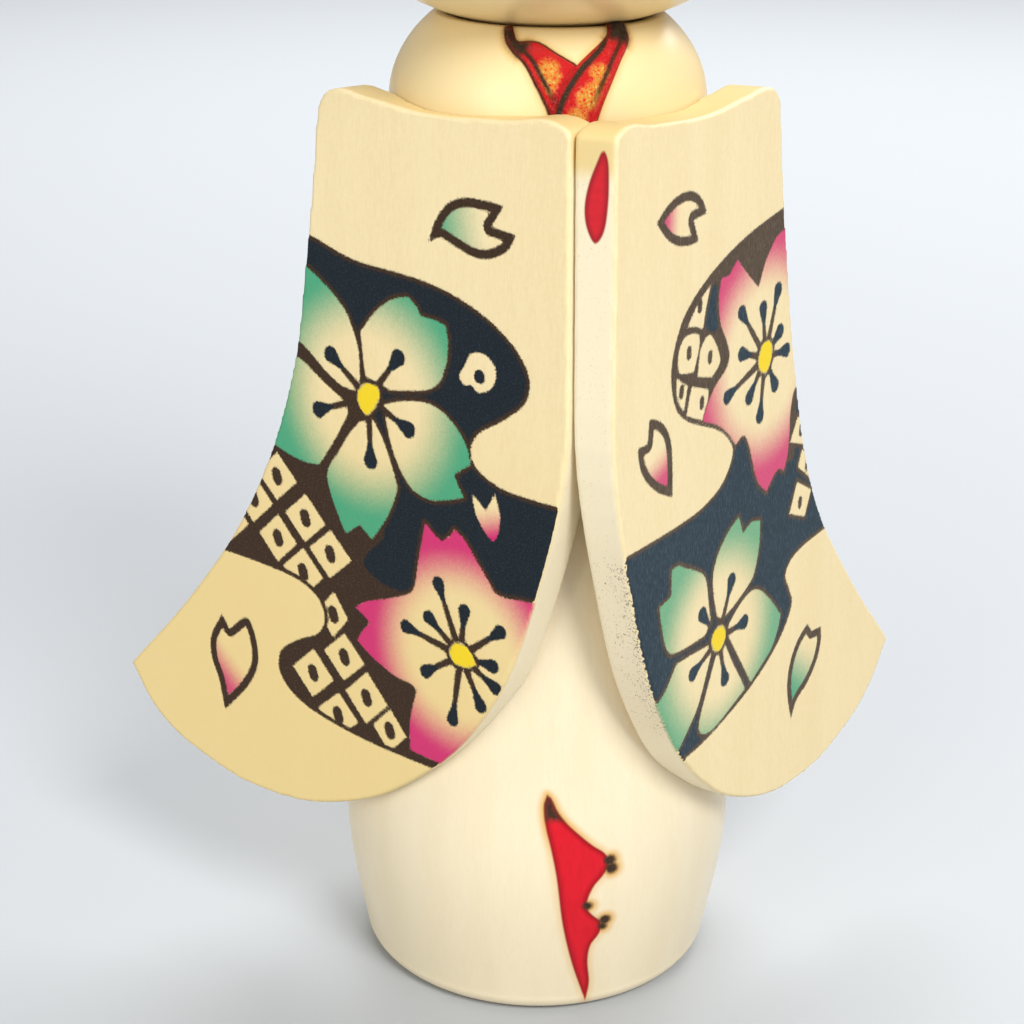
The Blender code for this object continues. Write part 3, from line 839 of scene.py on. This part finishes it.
HEAD_DRAWN = ((150, 187),)
HEAD_GIRTH = 36.0
# painted shade under the head: full below the first height, none above the second
CHIN_SHADE_HEIGHTS = (150, 160)
BARE_FACE = (
    (-37, 182.2), (-20, 183.6), (0, 184), (20, 183.6), [37, 182.2], (39.5, 174), (40, 163),
    (44, 157.5), (52, 155), (90, 152.5), (140, 151.5), [200, 151.5], [200, 120], [-200, 120],
    [-200, 151.5], (-140, 151.5), (-90, 152.5), (-52, 155), (-44, 157.5), (-40, 163), (-39.5, 174))
HAIR_RISE = 0.45
CROWN_FROM = 186  # mm, all hair above this height
EYE_LID = ((9.5, 170.2), (12, 172), (16.5, 173), (21, 172.3), (25, 169.8))
EYE_UNDER = ((12, 169.4), (16.8, 168.5), (22, 169.5))
BROW = ((9.5, 178.6), (16, 180), (24, 178.2))
FACE_LINES = ((EYE_LID, 0.5), (EYE_UNDER, 0.22), (BROW, 0.34))  # each with its half width
NOSE = ((-2.2, 165.4), (-1.2, 164.5), (0, 164.9), (1.2, 164.5), (2.2, 165.4))
NOSE_LINE = 0.24
MOUTH = (
    [-4.2, 159.2], (-1.8, 160.2), [0, 159.7], (1.8, 160.2), [4.2, 159.2], (2.2, 157.9), (0, 157.4),
    (-2.2, 157.9))
PUPIL = (17, 170.7)
PUPIL_RADIUS = 1.75
CHEEK = (24.5, 162)
CHEEK_RADIUS = 6.5
CHEEK_STRENGTH = 0.34


def mirrored(points):
    return [type(point)((-point[0], point[1])) for point in points][::-1]


def draw_face(drawing):
    places = drawing.places
    for flip in (list, mirrored):
        for line, half_width in FACE_LINES:
            drawing.burn(stroke(places, around(flip(line), HEAD_GIRTH), half_width))
        pupil, cheek = (around(flip([place]), HEAD_GIRTH)[0] for place in (PUPIL, CHEEK))
        drawing.burn(spot(places, pupil, PUPIL_RADIUS))
        blush = spot(places, cheek, 0.0)
        drawing.colour(blush - CHEEK_RADIUS, BLUSH,
                       CHEEK_STRENGTH * (1 - ease(0, CHEEK_RADIUS, blush)))
    drawing.burn(stroke(places, around(NOSE, HEAD_GIRTH), NOSE_LINE))
    drawing.redden(shape(places, around(MOUTH, HEAD_GIRTH)))


def head_piece(material):
    profile = finer(wall_of("head"), HEAD_DRAWN)
    mesh, angles, rings = turned(profile)
    points = points_of(mesh)
    lowest = int(np.argmax(profile[:, 1] <= profile[:, 1].min() + 0.01))
    on_wall = rings <= lowest
    drawing = Drawing(unrolled(angles, points[:, 2], HEAD_GIRTH))
    bare = shape(drawing.places, around(BARE_FACE, HEAD_GIRTH))
    hair = np.where(on_wall, -bare, FAR)
    hair = np.where(points[:, 2] > CROWN_FROM, np.minimum(hair, -2.0), hair)
    draw_face(drawing)
    drawing.burnt = np.where(on_wall, drawing.burnt, FAR)
    push(points, HAIR_RISE * (1 - ease(-0.5, 0.1, hair)) * on_wall, profile, angles, rings)
    attach_drawing(mesh, drawing, points)
    # Painted shade on the underside of the head.
    attach(mesh, "painted_shade", 1 - ease(*CHIN_SHADE_HEIGHTS, points[:, 2]))
    attach(mesh, "hair", hair)
    put_points(mesh, points * MM)
    return shown("turned_head", mesh, material, "head", "head")


# ==== Materials ====

class Tree:
    """Short ways to add the nodes of one material."""

    def __init__(self, name):
        self.material = bpy.data.materials.new(name)
        self.material.use_nodes = True
        self.nodes = self.material.node_tree.nodes
        self.links = self.material.node_tree.links
        self.shader = self.nodes["Principled BSDF"]

    def put(self, socket, value):
        if isinstance(value, bpy.types.NodeSocket):
            self.links.new(value, socket)
        elif hasattr(value, "__len__") and socket.type == "RGBA" and len(value) == 3:
            socket.default_value = (*value, 1.0)
        else:
            socket.default_value = value

    def attribute(self, name, output="Fac"):
        node = self.nodes.new("ShaderNodeAttribute")
        node.attribute_name = name
        return node.outputs[output]

    def math(self, operation, *values):
        node = self.nodes.new("ShaderNodeMath")
        node.operation = operation
        for socket, value in zip(node.inputs, values):
            self.put(socket, value)
        return node.outputs[0]

    def times(self, first, second):
        return self.math("MULTIPLY", first, second)

    def plus(self, first, second):
        return self.math("ADD", first, second)

    def minus(self, first, second):
        return self.math("SUBTRACT", first, second)

    def noise(self, vector, scale, detail=2.0, roughness=0.5):
        """Noise at one scale, or with a scale for each axis."""
        node = self.nodes.new("ShaderNodeTexNoise")
        if hasattr(scale, "__len__"):
            stretch = self.nodes.new("ShaderNodeVectorMath")
            stretch.operation = "MULTIPLY"
            stretch.inputs[1].default_value = scale
            self.put(stretch.inputs[0], vector)
            vector = stretch.outputs[0]
            scale = 1.0
        self.put(node.inputs["Vector"], vector)
        node.inputs["Scale"].default_value = scale
        node.inputs["Detail"].default_value = detail
        node.inputs["Roughness"].default_value = roughness
        return node.outputs["Fac"]

    def spread(self, value, low, high, to_low=0.0, to_high=1.0):
        node = self.nodes.new("ShaderNodeMapRange")
        node.interpolation_type = "SMOOTHSTEP"
        for name, number in (("Value", value), ("From Min", low), ("From Max", high),
                             ("To Min", to_low), ("To Max", to_high)):
            self.put(node.inputs[name], number)
        return node.outputs["Result"]

    def mix(self, factor, first, second):
        node = self.nodes.new("ShaderNodeMix")
        node.data_type = "RGBA"
        for index, value in ((0, factor), (6, first), (7, second)):
            self.put(node.inputs[index], value)
        return node.outputs[2]

    def bump(self, height, depth_mm):
        node = self.nodes.new("ShaderNodeBump")
        node.inputs["Strength"].default_value = 1.0
        node.inputs["Distance"].default_value = depth_mm * MM
        self.put(node.inputs["Height"], height)
        return node.outputs["Normal"]

    def set(self, name, value):
        self.put(self.shader.inputs[name], value)

    def finish(self, colour, roughness, normal=None):
        self.set("Base Color", colour)
        self.set("Roughness", roughness)
        if normal is not None:
            self.set("Normal", normal)
        return self.material


def bare_wood(tree, along, across):
    """Wood colour with soft growth bands and fine fibres running up the piece, and painted shade."""
    place = tree.attribute("grain", "Vector")
    bands = tree.noise(place, (across, across, along), 3.0, 0.55)
    fibres = tree.noise(place, (across * 22, across * 22, along * 18), 2.0, 0.6)
    both = tree.plus(tree.times(bands, 0.65), tree.times(fibres, 0.35))
    wood = tree.mix(tree.spread(both, 0.36, 0.66), BODY_WOOD, BODY_WOOD_DEEP)
    # painted shade on the dome and under the head
    return tree.mix(tree.attribute("painted_shade"), wood, SHADED_BODY_WOOD), fibres


def sprayed(tree, colour, place):
    """Airbrushed paint with the fine speckle of the spray at its soft edges."""
    strength = tree.attribute("paint", "Alpha")
    speckle = tree.noise(place, 3.4, 1.0)
    loose = tree.times(tree.minus(1.0, strength), strength)
    grainy = tree.times(tree.minus(speckle, 0.5), 1.1)
    amount = tree.plus(strength, tree.times(loose, grainy))
    return tree.mix(amount, colour, tree.attribute("paint", "Color"))


def reddened(tree, colour, place, red):
    """Brushed red colour with a darker rim."""
    streaks = tree.noise(place, (1.2, 1.2, 0.3))
    wet = tree.mix(tree.spread(streaks, 0.35, 0.7), red, [channel * 0.92 for channel in red])
    rim = tree.spread(tree.attribute("red"), -1.1, 0.0)
    edged = tree.mix(rim, wet, [channel * 0.5 for channel in red])
    return tree.mix(tree.spread(tree.attribute("red"), 0.2, -0.16), colour, edged)


def burnt_in(tree, colour, place, stretch, fuzz, softness=0.14):
    """Dark blue fills and brown burnt lines with slightly ragged edges along the grain."""
    ragged = tree.noise(place, stretch, 2.0, 0.7)
    wander = tree.times(tree.minus(ragged, 0.5), fuzz)
    lines = tree.plus(tree.attribute("burnt"), wander)
    fills = tree.plus(tree.attribute("dark"), tree.times(wander, 1.6))
    streaks = tree.noise(place, (4.6, 0.8, 4.6), 3.0, 0.75)
    specks = tree.noise(place, 3.6, 2.0, 0.8)
    worn = tree.attribute("worn")
    thin = tree.times(tree.spread(streaks, 0.42, 0.8), tree.plus(0.08, worn))
    grainy = tree.times(tree.spread(specks, 0.5, 0.75), 0.34)
    faded = tree.plus(tree.plus(thin, grainy), tree.times(worn, 0.5))
    brown = tree.mix(faded, BURNT, WORN_BURNT)
    blue = tree.mix(faded, DARK_BLUE, WORN_BLUE)
    ink = tree.mix(tree.spread(fills, 0.2, -0.2), brown, blue)
    burnt = tree.spread(lines, softness, -softness)
    return tree.mix(burnt, colour, ink), burnt


def board_wood(tree, place):
    """The boards' flat-sawn wood, paler and spotted on their edges, with painted shade, and its relief.
    """
    parts = tree.nodes.new("ShaderNodeSeparateXYZ")
    tree.put(parts.inputs[0], place)
    upright = tree.nodes.new("ShaderNodeCombineXYZ")
    for target, axis in zip(upright.inputs, (0, 2, 1)):
        tree.put(target, parts.outputs[axis])
    standing = upright.outputs[0]
    bands = tree.noise(standing, (0.20, 0.20, 0.018), 3.0, 0.55)
    fibres = tree.noise(standing, (4.5, 4.5, 0.45), 2.0, 0.6)
    mottle = tree.noise(standing, 1.5, 3.0, 0.65)
    grain = tree.plus(tree.times(fibres, 0.4), tree.times(mottle, 0.3))
    tone = tree.plus(tree.times(bands, 0.3), grain)
    wood = tree.mix(tree.spread(tone, 0.38, 0.64), BOARD_WOOD, BOARD_WOOD_DEEP)
    # painted shade towards the tips and on the top edges
    wood = tree.mix(tree.attribute("painted_shade"), wood, SHADED_BOARD_WOOD)
    end_spots = tree.noise(place, 2.6, 2.0, 0.7)
    end_wood = tree.mix(tree.spread(end_spots, 0.6, 0.74), END_GRAIN, BOARD_WOOD_DEEP)
    return tree.mix(tree.attribute("edge"), wood, end_wood), tone


def spattered(tree, colour, place):
    """Flecks of ink and a faint stain on an edge."""
    pores = tree.noise(place, (3.4, 2.4, 3.4), 3.0, 0.8)
    fleck = tree.attribute("speckle")
    clumps = tree.spread(tree.noise(place, 0.6, 1.0), 0.35, 0.65, -0.03, 0.03)
    threshold = tree.plus(tree.minus(0.81, tree.times(fleck, 0.27)), clumps)
    spatter = tree.spread(tree.minus(pores, threshold), 0.0, 0.06)
    stained = tree.mix(tree.times(fleck, 0.16), colour, STAIN)
    on_edge = tree.mix(tree.attribute("edge"), colour, stained)
    return tree.mix(tree.times(spatter, 0.85), on_edge, SPECK)


def board_material():
    tree = Tree("printed_board")
    place = tree.attribute("grain", "Vector")
    wood, relief = board_wood(tree, place)
    painted = reddened(tree, sprayed(tree, wood, place), place, RED)
    inked, burnt = burnt_in(tree, painted, place, (5.5, 4.2, 5.5), 0.8)
    tree.set("Specular IOR Level", tree.spread(burnt, 0.0, 1.0, 0.35, 0.12))
    roughness = tree.spread(burnt, 0.0, 1.0, 0.47, 0.55)
    return tree.finish(spattered(tree, inked, place), roughness, tree.bump(relief, 0.05))


def body_material():
    tree = Tree("turned_and_lacquered")
    place = tree.attribute("grain", "Vector")
    wood, fibres = bare_wood(tree, 0.016, 0.16)
    scorched = tree.mix(tree.attribute("scorch"), wood, SCORCH)
    painted = reddened(tree, sprayed(tree, scorched, place), place, RED)
    lacquer = tree.spread(tree.attribute("lacquer"), 0.06, -0.06)
    leaf = tree.noise(place, 2.0, 3.0, 0.8)
    flakes = tree.times(tree.attribute("gold"), tree.spread(leaf, 0.41, 0.48))
    # Gold leaf from orange to pale gold: partly its own tone, partly a painted highlight.
    gilt_and_highlight = tree.mix(tree.spread(leaf, 0.5, 0.7), GOLD, PALE_GOLD_AND_HIGHLIGHT)
    red = tree.mix(flakes, LACQUER_RED, gilt_and_highlight)
    coloured = tree.mix(lacquer, painted, red)
    colour, burnt = burnt_in(tree, coloured, place, (2.2, 2.2, 1.1), 0.2, 0.24)
    bare = tree.minus(1.0, burnt)
    is_red = tree.spread(tree.attribute("red"), 0.12, -0.12)
    plain = tree.minus(bare, tree.math("MAXIMUM", lacquer, is_red))
    matt = tree.math("MAXIMUM", burnt, tree.times(is_red, 0.8))
    tree.set("Metallic", tree.times(flakes, tree.times(bare, 0.5)))
    tree.set("Coat Weight", tree.times(tree.math("MAXIMUM", plain, 0.0), 0.3))
    tree.set("Coat Roughness", 0.22)
    tree.set("Specular IOR Level", tree.spread(matt, 0.0, 1.0, 0.42, 0.12))
    shine = tree.spread(lacquer, 0.0, 1.0, 0.40, 0.05)
    crinkle = tree.times(tree.noise(place, 2.4, 3.0, 0.75), lacquer)
    relief = tree.plus(tree.times(fibres, 0.06), crinkle)
    return tree.finish(colour, tree.plus(shine, tree.times(flakes, 0.14)), tree.bump(relief, 0.46))


def head_material():
    tree = Tree("turned_and_painted")
    place = tree.attribute("grain", "Vector")
    wood, fibres = bare_wood(tree, 0.016, 0.14)
    painted = reddened(tree, sprayed(tree, wood, place), place, LIP)
    inked, _ = burnt_in(tree, painted, place, (2.0, 2.0, 1.0), 0.10)
    hair = tree.spread(tree.attribute("hair"), 0.08, -0.08)
    strands = tree.noise(place, (1.6, 1.6, 0.03), 3.0, 0.6)
    black = tree.mix(tree.spread(strands, 0.4, 0.75), HAIR, [channel * 3 for channel in HAIR])
    tree.set("Coat Weight", 0.3)
    tree.set("Coat Roughness", 0.2)
    relief = tree.plus(tree.times(fibres, 0.2), tree.times(strands, hair))
    roughness = tree.spread(hair, 0.0, 1.0, 0.40, 0.28)
    return tree.finish(tree.mix(hair, inked, black), roughness, tree.bump(relief, 0.08))


def peg_material():
    tree = Tree("plain_dowel")
    coordinates = tree.nodes.new("ShaderNodeTexCoord").outputs["Object"]
    streaks = tree.noise(coordinates, (900, 900, 120))
    colour = tree.mix(tree.spread(streaks, 0.35, 0.65), PEG_WOOD, PEG_WOOD_DEEP)
    return tree.finish(colour, 0.6, tree.bump(streaks, 0.03))


# ==== Stage ====

CAMERA_PLACE = (-48.4, -291.0, 191.9)  # mm
CAMERA_YAW = 8.575  # degrees, towards the doll's left
CAMERA_DOWN = 22.115
CAMERA_ROLL = 0.577
CAMERA_SENSOR = 36.0  # mm
CAMERA_LENS = 73.12
FLOOR_REACH = 6.0  # metres, as in all of the stage below
FLOOR_COLOUR = (0.44, 0.455, 0.47)
SKY_COLOUR = (0.93, 0.96, 1.0, 1.0)
SKY_STRENGTH = 0.42
DAYLIGHT = (0.98, 0.99, 1.0)
WARMER = (1.0, 0.98, 0.92)
MIDDLE = (0.0, 0.0, 0.09)
# Each lamp: its name, place, target, size, power, colour and spread in degrees.
LAMPS = (("key", (0.27, -0.74, 0.80), MIDDLE, 0.42, 9.3, DAYLIGHT, 180),
         ("fill", (-0.62, -0.62, 0.46), MIDDLE, 0.6, 3.2, WARMER, 180),
         ("back", (-0.05, 0.85, 0.95), (-0.12, 0.75, 0.0), 0.8, 5.5, DAYLIGHT, 130),
         ("side", (0.75, 0.80, 0.85), (0.30, 0.40, 0.0), 0.8, 6.0, DAYLIGHT, 130))


def camera():
    data = bpy.data.cameras.new("Camera")
    data.sensor_width = CAMERA_SENSOR
    data.lens = CAMERA_LENS
    data.clip_start = 0.01
    obj = linked("Camera", data)
    obj.location = Vector(CAMERA_PLACE) * MM
    turn = (Matrix.Rotation(-math.radians(CAMERA_YAW), 4, "Z")
            @ Matrix.Rotation(math.radians(90 - CAMERA_DOWN), 4, "X")
            @ Matrix.Rotation(math.radians(CAMERA_ROLL), 4, "Z"))
    obj.rotation_euler = turn.to_euler()
    bpy.context.scene.camera = obj


def lamp(name, place, target, size, power, colour, spread):
    data = bpy.data.lights.new(name, "AREA")
    data.spread = math.radians(spread)
    data.shape = "DISK"
    data.size = size
    data.energy = power
    data.color = colour
    obj = linked(name, data)
    obj.location = place
    obj.rotation_euler = (Vector(target) - Vector(place)).to_track_quat("-Z", "Y").to_euler()


def stage():
    mesh = bpy.data.meshes.new("floor")
    corners = [(x * FLOOR_REACH, y * FLOOR_REACH, 0) for x, y in ((-1, -1), (1, -1), (1, 1), (-1, 1))]
    mesh.from_pydata(corners, [], [(0, 1, 2, 3)])
    mesh.materials.append(Tree("pale_floor").finish(FLOOR_COLOUR, 0.55))
    linked("floor", mesh)
    world = bpy.data.worlds.new("studio")
    world.use_nodes = True
    sky = world.node_tree.nodes["Background"]
    sky.inputs["Color"].default_value = SKY_COLOUR
    sky.inputs["Strength"].default_value = SKY_STRENGTH
    bpy.context.scene.world = world
    for values in LAMPS:
        lamp(*values)
    bpy.context.scene.view_settings.view_transform = "Standard"


def build():
    stage()
    camera()
    boards = board_material()
    sleeve_board("sleeve_right", draw_right, boards)
    sleeve_board("sleeve_left", draw_left, boards)
    body_piece(body_material())
    head_piece(head_material())
    dowels = peg_material()
    for name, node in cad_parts.items():
        if "peg" in name or "pin" in name:
            node.data.materials.clear()
            node.data.materials.append(dowels)


build()
